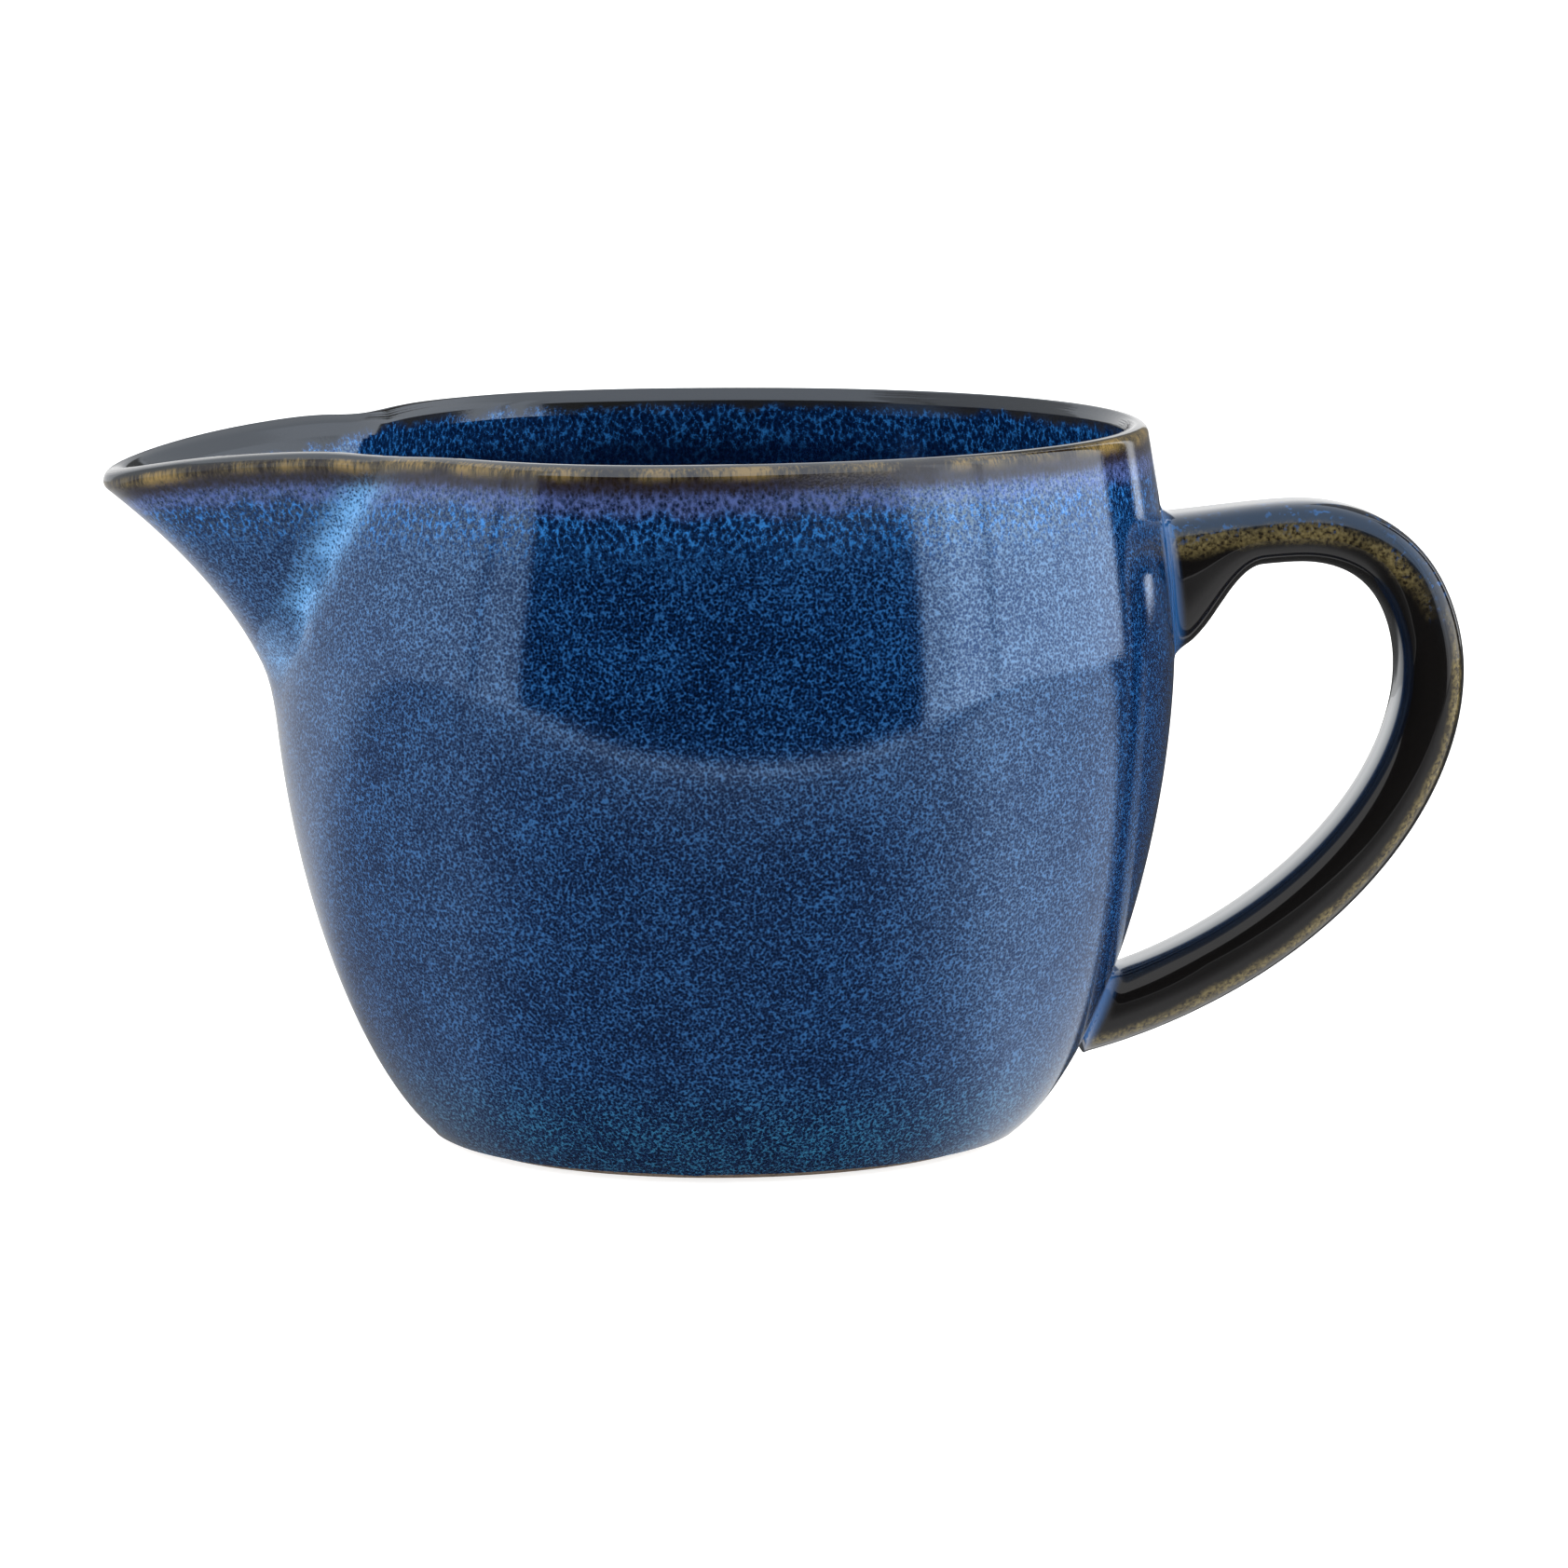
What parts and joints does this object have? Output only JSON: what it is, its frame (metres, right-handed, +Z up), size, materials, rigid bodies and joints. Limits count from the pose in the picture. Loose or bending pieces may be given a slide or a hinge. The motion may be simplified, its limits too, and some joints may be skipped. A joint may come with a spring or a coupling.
{
  "type": "ceramic pitcher",
  "caption": "Low round-bodied stoneware pouring jug with a creased beak, a looped strap handle and a speckled blue glaze that breaks brown at the lip.",
  "frame": {"origin": "centre of the foot ring, on the table", "axes": "+Z up, +X towards the handle, -X towards the tip of the beak; the XZ plane is the plane of symmetry"},
  "size_m": [0.1647, 0.1088, 0.0862],
  "materials": {
    "stoneware": "bare fired stoneware, matt and slightly gritty",
    "slip": "fired slip between two clay pieces",
    "blue_glaze": "gloss reactive glaze, navy cells in a paler blue net",
    "inside_glaze": "gloss reactive glaze, darker than outside",
    "rim_glaze": "gloss glaze broken to grey brown over the lip",
    "dark_glaze": "gloss glaze, near black with olive brown edges"
  },
  "bodies": {
    "root": {"bowl": "stoneware", "spout": "stoneware", "spout_seam": "slip", "handle": "stoneware", "upper_handle_joint": "slip", "lower_handle_joint": "slip", "outer_glaze": "blue_glaze", "inner_glaze": "inside_glaze", "rim_glaze": "rim_glaze", "handle_glaze": "dark_glaze", "foot_well_glaze": "inside_glaze"}
  },
  "joints": []
}
